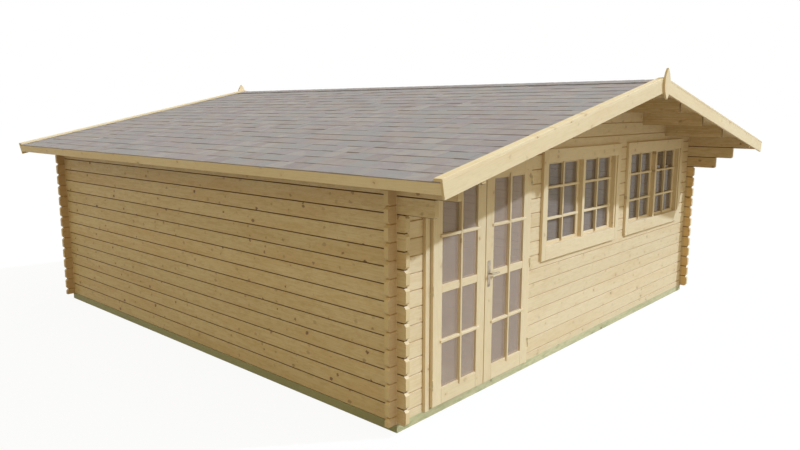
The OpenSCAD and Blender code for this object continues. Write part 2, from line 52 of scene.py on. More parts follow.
# Roof
ROOF_SLOPE = math.radians(12)
SLOPE_SIN = math.sin(ROOF_SLOPE)
SLOPE_COS = math.cos(ROOF_SLOPE)
SLOPE_TAN = math.tan(ROOF_SLOPE)
ROOF_BOARD = 0.019
ROOF_BOARD_WIDTH = 0.096
SHINGLE = 0.008
SHINGLE_COURSES = 20
COURSE_LAP = 0.030
TAB_WIDTHS = (0.11, 0.24)
LAST_TAB_WIDTH = 0.08
TAB_BUTT_HEIGHT = 0.0034
TAB_TUCK_HEIGHT = 0.0004
TAB_THINNER_BY = (0.0, 0.0008, 0.0016, 0.0024)
BUTT_SCATTER = 0.003
LAYER_GAP = 0.0002
SHEET_GAP = 0.0003
STARTER_TONE = 0.1
BARGEBOARD_HEIGHT = 0.119
FASCIA_HEIGHT = 0.080
TRIM_BOARD = 0.020
CAP_TOP = 0.030
CAP_WIDTH = 0.073
RIDGE_CAP_REACH = 0.150
RIDGE_CAP_TOP = 0.013
RIDGE_CAP_STEP = 0.145
RIDGE_CAP_SHEET = 0.0022
RIDGE_CAP_LAP = 0.25

# Logs
LOG_HEIGHT = 0.140
SIDE_BASE = 0.076
WALL_COURSES = 12
WALL_HALF = 3.0
FRONT_BASE = 0.146
PURLIN_SPACING = 0.710
BELOW_ALL_LOGS = -50 * LOG_HEIGHT
BEAM_OFFSET = 0.030

# Eased edges of boards and tabs
EDGE = 0.002
SOFT_EDGE = 0.003
SILL_EDGE = 0.004
FLOOR_EDGE = 0.0015
TAB_EDGE = 0.0006
STARTER_EDGE = 0.0004
RIDGE_CAP_EDGE = 0.0005

# Floor
FLOOR_BOARD_WIDTH = 0.096
BOARD_JOINT = 0.001

# Door
JAMB_FACE = 0.053
JAMB_LAP = 0.025
STOP_DEPTH = 0.012
STOP_START = 0.008
THRESHOLD = 0.023
LEAF_STILE = 0.116
LEAF_RAIL = 0.141
LOCK_RAIL = 0.066
BAR_WIDTH = 0.024
BAR_PROUD = 0.015
BAR_OVER_STILE = 0.030
GLASS_BEAD = 0.012
INNER_BAR_INSET = 0.006

# Windows
SIDE_TRIM = 0.077
TOP_TRIM = 0.129
BOTTOM_TRIM = 0.140
WINDOW_POST = 0.050
WINDOW_JAMB = 0.033
OPENING_LAP = 0.040
FRAME_RECESS = 0.012
SASH_STILE = 0.054
SASH_LAP = 0.008
MIDDLE_ROW_SHARE = 0.405
BAR_OVER_RAIL = 0.022
SASH_BAR_INSET = 0.004

# Hidden rings in the frames and leaves
CORE_STEP = 0.009
CORE_SILL_STEP = 0.027
CORE_WIDTH = 0.050
CORE_INSET = 0.001

# Lever: its radius and taper, the bend into the grip, and how far the grip lies inside its box
LEVER_RADIUS = 0.0085
LEVER_TAPER = 0.0008
LEVER_BEND = 0.018
BEND_STEPS = 8
GRIP_INSET = 0.008
GRIP_SIDES = 20
NECK_SINK = 0.001
SPINDLE_RADIUS = 0.004
SPINDLE_SIDES = 12
# Share of the grip's length and radius of each ring along it, up to the rounded tip
GRIP_RINGS = (
    (0.3, 0.0077), (0.6, 0.0078), (0.85, 0.0079), (0.94, 0.0076), (0.98, 0.0062), (0.998, 0.0035)
)

# Handle plates
PLATE_SHARE = 0.6
PLATE_CORNER = 0.010
PLATE_EDGE = 0.0015
SCREW_INSET = 0.013
LOCK_DROP = 0.092
LOCK_HOLE_DROP = 0.006
# Half width, half height and corner radius
COLLAR = (0.0135, 0.0135, 0.0134)
COLLAR_EDGE = 0.0008
# Half width, half height, corner radius, height above the plate and eased edge
SCREW_HEAD = (0.0042, 0.0042, 0.0041, 0.0012, 0.0007)
SCREW_SLOT = (0.0030, 0.0005, 0.0004, 0.0014, 0.0001)
LOCK_HOLE = (0.0058, 0.0165, 0.0057, 0.0006, 0.0003)
LOCK_FACE = (0.0082, 0.0082, 0.0081, 0.0018, 0.0006)
KEY_SLOT = (0.0008, 0.0040, 0.0007, 0.0021, 0.0001)
CORNER_STEPS = 6
CREASE = math.radians(35)

# Camera
SENSOR_WIDTH = 36.0
LENS = 31.05
FAR_CLIP = 500.0
EYE = (-6.787, -6.4355, 2.532)
AIM_YAW = 0.836
AIM_PITCH = -0.1656

# Lamps: name, strength, angle in degrees, colour and the way to the lamp
LAMPS = (
    ("sun", 3.7, 1.2, (0.645, 0.79, 1.0), (6.9, -5.7, 6.67)),
    ("soft_sky", 0.95, 60.0, (0.70, 0.88, 1.0), (0.3, -1.0, 1.4)),
)
FILL_COLOR = (1.0, 0.875, 0.48, 1.0)
FILL_STRENGTH = 0.60
WHITE = (1.0, 1.0, 1.0, 1.0)

# Ground: its reach, its colour in the light and in view, and the white share of what is in view
GROUND_REACH = 120.0
GROUND_LIT = (0.40, 0.37, 0.32, 1.0)
GROUND_SEEN = (0.86, 0.86, 0.86, 1.0)
GROUND_WHITE = 0.93


def srgb(red, green, blue):
    """Linear colour of an sRGB colour given from 0 to 255."""
    def linear(value):
        share = value / 255
        return share / 12.92 if share <= 0.04045 else ((share + 0.055) / 1.055) ** 2.4
    return (linear(red), linear(green), linear(blue), 1.0)


# Shader networks


class Net:
    """The node tree of a material or a world, with short calls that make and link its nodes."""

    def __init__(self, owner):
        self.owner = owner
        owner.use_nodes = True
        self.tree = owner.node_tree
        self.tree.nodes.clear()

    def add(self, kind, inputs=None, **settings):
        made = self.tree.nodes.new(kind)
        for name, value in settings.items():
            setattr(made, name, value)
        for key, value in (inputs or {}).items():
            self.feed(made.inputs[key], value)
        return made

    def feed(self, socket, value):
        if isinstance(value, bpy.types.NodeSocket):
            self.tree.links.new(value, socket)
        else:
            socket.default_value = value

    def math(self, operation, a, b=0.0, clamp=False):
        made = self.add("ShaderNodeMath", {0: a, 1: b}, operation=operation, use_clamp=clamp)
        return made.outputs[0]

    def vector(self, operation, a, b=(0.0, 0.0, 0.0)):
        made = self.add("ShaderNodeVectorMath", {0: a, 1: b}, operation=operation)
        return made.outputs["Value" if operation == "LENGTH" else "Vector"]

    def join(self, x, y, z=0.0):
        return self.add("ShaderNodeCombineXYZ", {0: x, 1: y, 2: z}).outputs[0]

    def split(self, vector):
        made = self.add("ShaderNodeSeparateXYZ", {0: vector})
        return made.outputs[0], made.outputs[1], made.outputs[2]

    def noise(self, vector, scale=1.0, detail=2.0, roughness=0.5):
        made = self.add(
            "ShaderNodeTexNoise",
            {"Vector": vector, "Scale": scale, "Detail": detail, "Roughness": roughness},
        )
        return made.outputs["Fac"]

    def random(self, value):
        """A random number from 0 to 1 for each value."""
        made = self.add("ShaderNodeTexWhiteNoise", {"W": value}, noise_dimensions="1D")
        return made.outputs["Value"]

    def remap(self, value, low, high, to_low=0.0, to_high=1.0, smooth=True):
        made = self.add(
            "ShaderNodeMapRange",
            {"Value": value, "From Min": low, "From Max": high, "To Min": to_low, "To Max": to_high},
            interpolation_type="SMOOTHSTEP" if smooth else "LINEAR",
        )
        return made.outputs["Result"]

    def blend(self, share, a, b):
        made = self.add("ShaderNodeMix", data_type="RGBA")
        self.feed(made.inputs[0], share)
        self.feed(made.inputs[6], a)
        self.feed(made.inputs[7], b)
        return made.outputs[2]

    def attribute(self, name):
        return self.add("ShaderNodeAttribute", attribute_name=name)

    def finish(self, color, roughness, bump=None, bump_distance=0.001, **fixed):
        """Ends the tree in a Principled shader and returns the material."""
        shader = self.add("ShaderNodeBsdfPrincipled", {"Base Color": color, "Roughness": roughness})
        for name, value in fixed.items():
            shader.inputs[name.upper() if name == "ior" else name.title()].default_value = value
        if bump is not None:
            relief = self.add(
                "ShaderNodeBump", {"Height": bump, "Strength": 1.0, "Distance": bump_distance}
            )
            self.tree.links.new(relief.outputs[0], shader.inputs["Normal"])
        output = self.add("ShaderNodeOutputMaterial")
        self.tree.links.new(shader.outputs[0], output.inputs["Surface"])
        return self.owner


def material_net(name):
    return Net(bpy.data.materials.new(name))


# Knots: the cells they are scattered in, their radius, and their width over their length on the grain
ROUND_KNOTS = {"cell": (0.25, 0.076), "radius": (0.006, 0.019), "squeeze": 0.8}
CUT_KNOTS = {"cell": (0.85, 0.14), "radius": (0.010, 0.030), "squeeze": 2.6}
KNOT_BEND = 0.010


def knots(net, along, across, share, cell, radius, squeeze):
    """Knots in a share of the cells: (the knots, the swirl of grain round them), each 0 to 1."""
    bend = net.noise(net.join(along, across), scale=38.0, detail=2.0)
    offset = net.remap(bend, 0.25, 0.75, -KNOT_BEND, KNOT_BEND, smooth=False)
    along = net.math("ADD", along, offset)
    across = net.math("SUBTRACT", across, net.math("MULTIPLY", offset, 0.7))
    point = net.join(net.math("DIVIDE", along, cell[0]), net.math("DIVIDE", across, cell[1]))
    cells = net.add(
        "ShaderNodeTexVoronoi", {"Vector": point, "Scale": 1.0, "Randomness": 1.0},
        voronoi_dimensions="2D", feature="F1",
    )
    away = net.vector("SUBTRACT", point, cells.outputs["Position"])
    away = net.vector("MULTIPLY", away, (cell[0] * squeeze, cell[1], 0.0))
    distance = net.vector("LENGTH", away)
    pick, size, depth = net.split(cells.outputs["Color"])
    strength = net.remap(net.math("POWER", depth, 2.5), 0.0, 1.0, 0.22, 1.0, smooth=False)
    here = net.math("MULTIPLY", net.math("LESS_THAN", pick, share), strength)
    reach = net.remap(size, 0.0, 1.0, radius[0], radius[1], smooth=False)
    ratio = net.math("DIVIDE", distance, reach)
    spot = net.math("MULTIPLY", net.remap(ratio, 1.15, 0.75), here)
    swirl = net.math("MULTIPLY", net.remap(ratio, 4.0, 0.8), here)
    return spot, swirl


# Growth rings: how many cross a metre of a face, their width on a cut end, and the pith's place there
FACE_RINGS = 55.0
END_RING = 0.0042
PITH = (0.05, -0.02)


def along_grain(net, grain, along, across, detail, roughness=0.5):
    """Noise drawn out along the grain, from its steps a metre along and across it."""
    scaled = net.vector("MULTIPLY", grain, (along, across, across))
    return net.noise(scaled, detail=detail, roughness=roughness)


def cut_end(net, across, through, look):
    """Colour of a sawn end with its growth rings round the pith."""
    away = net.join(
        net.math("SUBTRACT", net.math("MODULO", across, LOG_HEIGHT), PITH[0]),
        net.math("SUBTRACT", through, PITH[1]),
    )
    turns = net.math("MULTIPLY", net.vector("LENGTH", away), 2 * math.pi / END_RING)
    year = net.math("SINE", turns)
    return net.blend(net.remap(year, -1.0, 1.0), look["end_light"], look["end_dark"])


def grown_wood(net, grain, tone, end, look):
    """Colour, roughness and relief of wood. grain is (along, across, through) in metres."""
    along, across, through = net.split(grain)
    spot, swirl = knots(net, along, across, look["knots"], **ROUND_KNOTS)
    slash, slash_swirl = knots(net, along, across, look["slashes"], **CUT_KNOTS)
    swirl = net.math("MAXIMUM", swirl, slash_swirl)

    figure = along_grain(net, grain, 0.55, 7.0, 1.5)
    bent = net.math("ADD", net.math("MULTIPLY", figure, 9.0), net.math("MULTIPLY", swirl, 1.3))
    phase = net.math("ADD", bent, net.math("MULTIPLY", across, FACE_RINGS))
    wave = net.math("SINE", net.math("MULTIPLY", phase, 2 * math.pi))
    ring = net.math("POWER", net.remap(wave, -1.0, 1.0, smooth=False), 3.0)
    fibre = along_grain(net, grain, 4.0, 210.0, 3.0)
    patch = along_grain(net, grain, 0.9, 5.0, 3.0)
    mottle = along_grain(net, grain, 9.0, 34.0, 4.0, 0.7)

    color = net.blend(net.math("MULTIPLY", ring, look["ring"]), look["light"], look["dark"])
    for field, low, high, share, tint in (
        (patch, 0.40, 0.72, "patch", "warm"),
        (mottle, 0.42, 0.68, "mottle", "dark"),
        (fibre, 0.35, 0.70, "fibre", "dark"),
    ):
        color = net.blend(net.remap(field, low, high, 0.0, look[share]), color, look[tint])
    color = net.blend(net.math("MULTIPLY", swirl, 0.34), color, look["warm"])
    core = net.math("MAXIMUM", net.math("MULTIPLY", spot, look["spot"]), slash)
    color = net.blend(net.math("MULTIPLY", core, 0.82), color, look["knot"])
    color = net.blend(end, color, cut_end(net, across, through, look))

    shade = net.remap(tone, 0.0, 1.0, 1.0 - look["spread"], 1.0 + 0.4 * look["spread"], smooth=False)
    color = net.vector("MULTIPLY", color, net.join(
        shade, net.math("POWER", shade, 1.15), net.math("POWER", shade, 1.6)
    ))
    height = net.math("ADD", net.math("MULTIPLY", ring, 0.35), net.math("MULTIPLY", fibre, 0.5))
    height = net.math("SUBTRACT", height, net.math("MULTIPLY", core, 0.8))
    roughness = net.remap(fibre, 0.2, 0.8, 0.52, 0.70)
    return color, roughness, height


# Pine of the side logs: more golden and with stronger marks than the front logs' copy, painted for the
# shade on the side walls
PINE = {
    "light": srgb(219, 197, 157), "dark": srgb(186, 154, 102), "warm": srgb(206, 168, 116),
    "knot": srgb(84, 44, 18), "end_light": srgb(219, 196, 152), "end_dark": srgb(202, 172, 124),
    "knots": 0.46, "slashes": 0.20, "spot": 1.0, "ring": 0.14,
    "patch": 0.50, "mottle": 0.44, "fibre": 0.26, "spread": 0.06,
}
# A lighter copy of pine with fainter marks: painted sunlight on the logs along X
FRONT_PINE_PAINTED_LIT = dict(
    PINE, light=srgb(224, 202, 165), slashes=0.06, spot=0.50, ring=0.09,
    patch=0.26, mottle=0.20, fibre=0.16,
)
TRIM_PINE = dict(
    PINE, light=srgb(226, 204, 167), knots=0.22, slashes=0.05, spot=0.50, ring=0.07,
    patch=0.20, mottle=0.14, fibre=0.12, spread=0.05,
)
# Wood of the roof, beams and floor, with sawn ends darker than pine's: end grain, with painted shade on
# the purlin ends
ROOF_PINE = dict(
    PINE, end_light=srgb(176, 146, 100), end_dark=srgb(150, 118, 74), ring=0.45, spread=0.14,
)
TREATED_PINE = dict(
    PINE, light=srgb(208, 198, 158), dark=srgb(148, 154, 106), warm=srgb(170, 160, 118),
    knot=srgb(76, 74, 48), end_light=srgb(172, 168, 120), end_dark=srgb(128, 126, 86),
    knots=0.25, slashes=0.05, mottle=0.60,
)

# How near a joint the dark of its V groove starts, and where it is full. This is the joint's dark with
# painted shade in the groove.
SEAM_EDGE = 0.0062
SEAM_CORE = 0.0036
SEAM_SHARE = 0.92
# Numbers that keep the random tones of walls, and of a log's tone and grain, apart
WALL_SEED = 31.7
GRAIN_SEED = 0.37
GRAIN_SPREAD = 60.0


def stub_painted_light_share(net, axis, along, through, z, end, share):
    """The share of painted light on the free log ends: painted shade on all those of logs along X,
    painted golden bounce light on the right front ones of the others.
    """
    outward = net.math("ABSOLUTE", along) if axis == "X" else net.math("MULTIPLY", along, -1.0)
    painted_stub_light = net.remap(outward, WALL_HALF, WALL_HALF + 0.01, 0.0, share)
    painted_stub_light = net.math("MULTIPLY", painted_stub_light, net.math("SUBTRACT", 1.0, end))
    if axis == "Y":
        painted_stub_light = net.math("MULTIPLY", painted_stub_light, net.math("GREATER_THAN", through, 0.0))
        wall_top = SIDE_BASE + WALL_COURSES * LOG_HEIGHT
        painted_stub_light = net.math("MULTIPLY", painted_stub_light, net.math("LESS_THAN", z, wall_top))
    return painted_stub_light


def log_wood(name, axis, base, look, joint_and_painted_light_color=None, stub_painted_light_color=None, stub_painted_light_strength=0.0):
    """Wood of logs laid in courses along an axis, read from the place of each point."""
    net = material_net(name)
    coordinates = net.add("ShaderNodeTexCoord")
    x, y, z = net.split(coordinates.outputs["Object"])
    normal = net.split(coordinates.outputs["Normal"])
    along, through = (x, y) if axis == "X" else (y, x)
    above = net.math("SUBTRACT", z, base)
    course = net.math("FLOOR", net.math("DIVIDE", above, LOG_HEIGHT))
    wall = net.math("ROUND", net.math("DIVIDE", through, PURLIN_SPACING))
    log = net.math("ADD", course, net.math("MULTIPLY", wall, WALL_SEED))
    tone = net.random(log)
    shift = net.math("MULTIPLY", net.random(net.math("ADD", log, GRAIN_SEED)), GRAIN_SPREAD)
    grain = net.join(
        net.math("ADD", along, shift),
        net.math("ADD", above, net.math("MULTIPLY", net.math("FLOOR", shift), 3 * LOG_HEIGHT)),
        net.math("MODULO", through, PURLIN_SPACING),
    )
    facing = net.math("ABSOLUTE", normal[0] if axis == "X" else normal[1])
    end = net.remap(facing, 0.45, 0.6)
    color, roughness, height = grown_wood(net, grain, tone, end, look)
    # Painted light on the free log ends: painted shade on the ends of logs along X, painted golden
    # bounce light on the side logs' right front ends
    if stub_painted_light_color:
        color = net.blend(stub_painted_light_share(net, axis, along, through, z, end, stub_painted_light_strength), color, stub_painted_light_color)
    # Dark joint line with painted shade in the V groove: dark on the side logs, painted lighter on the
    # front and back logs
    if joint_and_painted_light_color:
        local = net.math("SUBTRACT", above, net.math("MULTIPLY", course, LOG_HEIGHT))
        joint = net.math("MINIMUM", local, net.math("SUBTRACT", LOG_HEIGHT, local))
        dark = net.remap(joint, SEAM_EDGE, SEAM_CORE, 0.0, SEAM_SHARE)
        color = net.blend(dark, color, joint_and_painted_light_color)
    return net.finish(color, roughness, height, 0.0006)


def plank_wood(name, look):
    """Wood of boards that carry their own grain, tone and end faces."""
    net = material_net(name)
    grain = net.attribute("grain").outputs["Vector"]
    tone = net.attribute("tone").outputs["Fac"]
    end = net.attribute("end").outputs["Fac"]
    color, roughness, height = grown_wood(net, grain, tone, end, look)
    return net.finish(color, roughness, height, 0.0004)


def upright_wood(name, look):
    """Wood of a plate whose grain runs upwards, read from the place of each point."""
    net = material_net(name)
    x, y, z = net.split(net.add("ShaderNodeTexCoord").outputs["Object"])
    color, roughness, height = grown_wood(net, net.join(z, x, y), 0.5, 0.0, look)
    return net.finish(color, roughness, height, 0.0004)


# Colours of the tabs along their tone from 0 to 1
TAB_TONES = (
    (0.00, srgb(146, 134, 134)), (0.22, srgb(161, 145, 142)), (0.42, srgb(156, 148, 144)),
    (0.60, srgb(149, 145, 147)), (0.78, srgb(153, 140, 144)), (0.92, srgb(164, 154, 151)),
)


def shingle_surface():
    """Mineral granules on asphalt, in the tone of each tab, with butt edges painted paler as painted
    light against their shade.
    """
    net = material_net("shingle")
    point = net.add("ShaderNodeTexCoord").outputs["Object"]
    tone = net.attribute("tone").outputs["Fac"]
    end = net.attribute("end").outputs["Fac"]
    mottle = net.noise(point, scale=9.0, detail=3.0, roughness=0.6)
    mottle = net.remap(mottle, 0.25, 0.75, -0.22, 0.22, smooth=False)
    ramp = net.add("ShaderNodeValToRGB", {"Fac": net.math("ADD", tone, mottle, clamp=True)})
    elements = ramp.color_ramp.elements
    for element, (position, color) in zip(elements, (TAB_TONES[0], TAB_TONES[-1])):
        element.position = position
        element.color = color
    for position, color in TAB_TONES[1:-1]:
        elements.new(position).color = color
    grit = net.noise(point, scale=420.0, detail=3.0, roughness=0.7)
    drift = net.noise(point, scale=3.5, detail=3.0)
    color = net.blend(net.remap(grit, 0.38, 0.62, 0.0, 0.34), ramp.outputs[0], srgb(104, 94, 92))
    color = net.blend(net.remap(grit, 0.58, 0.72, 0.0, 0.5), color, srgb(212, 204, 200))
    color = net.blend(net.remap(drift, 0.3, 0.8, 0.0, 0.20), color, srgb(142, 134, 136))
    # Painted light: the butt edges are paler so that their shade reads faint
    color = net.blend(net.math("MULTIPLY", end, 0.65), color, srgb(170, 158, 156))
    roughness = net.remap(grit, 0.3, 0.7, 0.82, 0.96)
    return net.finish(color, roughness, grit, 0.0012)


PANE_ALPHA = 0.46
GLASS_IOR = 1.5


def pane(name, light, dark):
    """Glass with a faint film that veils what is behind it."""
    net = material_net(name)
    point = net.add("ShaderNodeTexCoord").outputs["Object"]
    film = net.noise(point, scale=6.0, detail=2.0)
    color = net.blend(net.remap(film, 0.3, 0.7), dark, light)
    roughness = net.remap(film, 0.3, 0.8, 0.02, 0.05)
    return net.finish(color, roughness, alpha=PANE_ALPHA, ior=GLASS_IOR)


def metal(name, color, roughness, scratch, metallic=1.0):
    """Brushed metal with fine lines along Z."""
    net = material_net(name)
    point = net.add("ShaderNodeTexCoord").outputs["Object"]
    lines = net.noise(net.vector("MULTIPLY", point, (900.0, 900.0, 40.0)), detail=2.0)
    cloud = net.noise(point, scale=25.0, detail=3.0)
    tint = net.blend(net.remap(cloud, 0.3, 0.75, 0.0, 0.4), color, srgb(90, 88, 86))
    rough = net.math("ADD", roughness, net.remap(lines, 0.2, 0.8, -scratch, scratch), clamp=True)
    return net.finish(tint, rough, lines, 0.00005, metallic=metallic)


# Side logs get dark joints with painted shade and painted golden bounce light on their right front ends;
# front and back logs get joints painted lighter and painted shade on their free ends
LOGS_ALONG_Y = log_wood(
    "logs_along_y", "Y", SIDE_BASE, PINE, srgb(84, 50, 12), srgb(246, 192, 104), 0.38
)
LOGS_ALONG_X = log_wood(
    "logs_along_x", "X", FRONT_BASE, FRONT_PINE_PAINTED_LIT, srgb(178, 142, 92), srgb(168, 120, 70), 0.42
)
BEAMS_ALONG_Y = log_wood("beams_along_y", "Y", BELOW_ALL_LOGS, ROOF_PINE)
TREATED = log_wood("treated_wood", "X", BELOW_ALL_LOGS - BEAM_OFFSET, TREATED_PINE)
TRIM_WOOD = plank_wood("trim_wood", TRIM_PINE)
ROOF_WOOD = plank_wood("roof_wood", ROOF_PINE)
FLOOR_WOOD = plank_wood("floor_wood", ROOF_PINE)
FINIAL_WOOD = upright_wood("finial_wood", TRIM_PINE)
SHINGLES = shingle_surface()
DOOR_PANE = pane("door_pane", srgb(196, 172, 155), srgb(191, 167, 150))
# The window glass is a darker copy of the door glass: painted shade of the room behind it
WINDOW_PANE_SHADED = pane("window_pane_shaded", srgb(160, 143, 133), srgb(154, 137, 127))
HINGE_STEEL = metal("hinge_steel", srgb(232, 214, 172), 0.55, 0.06, 0.2)
HANDLE_STEEL = metal("handle_steel", srgb(190, 174, 146), 0.26, 0.08)
PLATE_STEEL = metal("plate_steel", srgb(196, 180, 158), 0.40, 0.08)
# Dark plates for the screw slots, the key slot and the hole round the lock: painted shade of these
# recesses
SLOT_SHADE_STEEL = metal("slot_shade_steel", srgb(52, 46, 42), 0.55, 0.08)


# Boards


class Boards:
    """Straight boards with eased edges, gathered into one mesh."""

    def __init__(self):
        self.points = []
        self.grain = []
        self.tone = []
        self.faces = []
        self.ends = []

    def board(self, start, along, across, through, size, ease=EDGE, cuts=(0.0, 0.0), tone=None):
        """A board from a corner: unit directions, (length, width, thickness), and how far each
        end leans along the board from one edge to the other."""
        start, along, across, through = map(Vector, (start, along, across, through))
        length, width, thickness = size
        ease = min(ease, width / 3, thickness / 3)
        offset = (rng.uniform(0, 90), rng.uniform(0, 90))
        tone = rng.random() if tone is None else tone
        first = len(self.points)
        for corner in range(8):
            side = (corner & 1, corner >> 1 & 1, corner >> 2 & 1)
            for flat in range(3):
                eased = [
                    side[i] * size[i] + (0 if i == flat else (ease if side[i] == 0 else -ease))
                    for i in range(3)
                ]
                shifted = eased[0] + cuts[side[0]] * eased[1] / width
                self.points.append(start + along * shifted + across * eased[1] + through * eased[2])
                self.grain.append((shifted + offset[0], eased[1] + offset[1], eased[2]))
                self.tone.append(tone)
        middle = start + along * (length / 2 + (cuts[0] + cuts[1]) / 4)
        middle = middle + across * width / 2 + through * thickness / 2

        def vertex(corner, flat):
            return first + corner * 3 + flat

        def add(face, end):
            normal = (self.points[face[1]] - self.points[face[0]]).cross(
                self.points[face[2]] - self.points[face[0]]
            )
            centre = sum((self.points[i] for i in face), Vector()) / len(face)
            self.faces.append(face if normal.dot(centre - middle) > 0 else face[::-1])
            self.ends.append(end)

        bits = (1, 2, 4)
        for flat in range(3):
            one, two = [bits[i] for i in range(3) if i != flat]
            for side in (0, bits[flat]):
                ring = [side, side | one, side | one | two, side | two]
                add([vertex(c, flat) for c in ring], 1.0 if flat == 0 else 0.0)
        for run in range(3):
            one, two = [i for i in range(3) if i != run]
            for corner in (c for c in range(8) if not c & bits[run]):
                far = corner | bits[run]
                add([vertex(corner, one), vertex(far, one), vertex(far, two), vertex(corner, two)], 0.0)
        for corner in range(8):
            add([vertex(corner, flat) for flat in range(3)], 0.0)

    def block(self, low, high, along, ease=EDGE):
        """A board that fills a box and whose grain runs along X, Y or Z."""
        low, high = Vector(low), Vector(high)
        order = {"X": (0, 2, 1), "Y": (1, 2, 0), "Z": (2, 0, 1)}[along]
        units = [Vector((1, 0, 0)), Vector((0, 1, 0)), Vector((0, 0, 1))]
        size = [high[i] - low[i] for i in order]
        self.board(low, *[units[i] for i in order], size, ease)

    def build(self, name, material, body, slot, *replaced):
        """Makes the mesh, which rides on a body and stands for the CAD nodes named."""
        mesh = bpy.data.meshes.new(name)
        mesh.from_pydata([tuple(p) for p in self.points], [], self.faces)
        grain = mesh.attributes.new("grain", "FLOAT_VECTOR", "POINT")
        grain.data.foreach_set("vector", [v for point in self.grain for v in point])
        tone = mesh.attributes.new("tone", "FLOAT", "POINT")
        tone.data.foreach_set("value", self.tone)
        end = mesh.attributes.new("end", "FLOAT", "FACE")
        end.data.foreach_set("value", self.ends)
        mesh.materials.append(material)
        place(bpy.data.objects.new(name, mesh), body, slot, *replaced)


def place(piece, body, slot, *replaced):
    """Puts a piece in the scene, on its body, in place of the CAD nodes named."""
    bpy.context.scene.collection.objects.link(piece)
    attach(piece, body)
    if replaced:
        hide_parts(*replaced)


# Roof

shingles_low, shingles_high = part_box("right_shingles")
barge_low, barge_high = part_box("front_bargeboards")
back_barge_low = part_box("back_bargeboards")[0]
ROOF_APEX = shingles_high.z - SHINGLE / SLOPE_COS
SLOPE_LENGTH = (barge_high.x - SHINGLE * SLOPE_SIN) / SLOPE_COS
BOARDS_FRONT = shingles_low.y
BOARDS_BACK = shingles_high.y


def roof_point(side, u, h, y):
    """A point of a slope: u down from the ridge, h above the boards."""
    return Vector((side * (u * SLOPE_COS + h * SLOPE_SIN), y, ROOF_APEX - u * SLOPE_SIN + h * SLOPE_COS))


def down_slope(side):
    return Vector((side * SLOPE_COS, 0, -SLOPE_SIN))


def off_slope(side):
    return Vector((side * SLOPE_SIN, 0, SLOPE_COS))


def ridge_start(h, y):
    """Where a layer that starts h above the boards meets the ridge line."""
    return Vector((0, y, ROOF_APEX + h / SLOPE_COS))


def shingle_slab(boards, side, y0, y1, butt, reach, top, tone):
    """One tab: its lower edge lies high, on the course below, and its upper end on the boards."""
    start = roof_point(side, butt - reach, TAB_TUCK_HEIGHT, y0)
    lean = math.atan((TAB_BUTT_HEIGHT - TAB_TUCK_HEIGHT) / reach)
    along = down_slope(side) * math.cos(lean) + off_slope(side) * math.sin(lean)
    through = off_slope(side) * math.cos(lean) - down_slope(side) * math.sin(lean)
    size = (reach, y1 - y0, top - TAB_BUTT_HEIGHT)
    boards.board(start, along, (0, 1, 0), through, size, TAB_EDGE, tone=tone)


def shingle_slope(side, name, node):
    """Courses of tabs of many widths and thicknesses, over a starter strip along the eave."""
    exposure = SLOPE_LENGTH / SHINGLE_COURSES
    boards = Boards()
    boards.board(
        roof_point(side, SLOPE_LENGTH - exposure, SHEET_GAP, BOARDS_FRONT), down_slope(side),
        (0, 1, 0), off_slope(side), (exposure, BOARDS_BACK - BOARDS_FRONT, TAB_BUTT_HEIGHT - SHEET_GAP),
        STARTER_EDGE, tone=STARTER_TONE,
    )
    for course in range(SHINGLE_COURSES):
        butt = SLOPE_LENGTH - course * exposure
        reach = min(exposure + COURSE_LAP, butt)
        y = BOARDS_FRONT
        while y < BOARDS_BACK:
            stop = min(y + rng.uniform(*TAB_WIDTHS), BOARDS_BACK)
            if BOARDS_BACK - stop < LAST_TAB_WIDTH:
                stop = BOARDS_BACK
            top = SHINGLE - rng.choice(TAB_THINNER_BY)
            low_edge = butt - rng.uniform(0, BUTT_SCATTER)
            shingle_slab(boards, side, y, stop, low_edge, reach, top, rng.random())
            y = stop
    boards.build(name, SHINGLES, "cabin", "shingle", node)


def ridge_caps():
    """Short strips bent over the ridge, each lying on the next."""
    low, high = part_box("ridge_cap")
    boards = Boards()
    count = math.ceil((high.y - low.y) / RIDGE_CAP_STEP)
    step = (high.y - low.y) / count
    for i in range(count):
        y0 = low.y + i * step
        tone = rng.random()
        length = step + (step * RIDGE_CAP_LAP if i < count - 1 else 0.0)
        for side in (-1, 1):
            start = ridge_start(RIDGE_CAP_TOP - RIDGE_CAP_SHEET, y0)
            fall = RIDGE_CAP_TOP - RIDGE_CAP_SHEET - SHINGLE - SHEET_GAP
            boards.board(
                start, Vector((0, length, -fall)).normalized(), down_slope(side), off_slope(side),
                (length, RIDGE_CAP_REACH, RIDGE_CAP_SHEET), RIDGE_CAP_EDGE, tone=tone,
            )
    boards.build("ridge_cap_strips", SHINGLES, "cabin", "shingle", "ridge_cap")


def roof_deck(side, name, node):
    """Boards from the ridge to the eave, seen from below with a small joint between them."""
    boards = Boards()
    count = round((BOARDS_BACK - BOARDS_FRONT) / ROOF_BOARD_WIDTH)
    wide = (BOARDS_BACK - BOARDS_FRONT) / count
    length = SLOPE_LENGTH - TRIM_BOARD - LAYER_GAP
    for i in range(count):
        y = BOARDS_FRONT + i * wide + BOARD_JOINT / 2
        boards.board(
            ridge_start(-ROOF_BOARD, y), down_slope(side), (0, 1, 0), off_slope(side),
            (length, wide - BOARD_JOINT, ROOF_BOARD), SOFT_EDGE,
        )
    boards.build(name, ROOF_WOOD, "cabin", "roof_wood", node)


def gable_board(boards, side, y, low_h, high_h, thickness):
    """A board along a gable edge: cut upright at the ridge and square at the eave."""
    height = high_h - low_h
    boards.board(
        ridge_start(low_h, y), down_slope(side), off_slope(side), (0, 1, 0),
        (SLOPE_LENGTH + low_h * SLOPE_TAN, height, thickness), cuts=(-height * SLOPE_TAN, 0.0),
    )


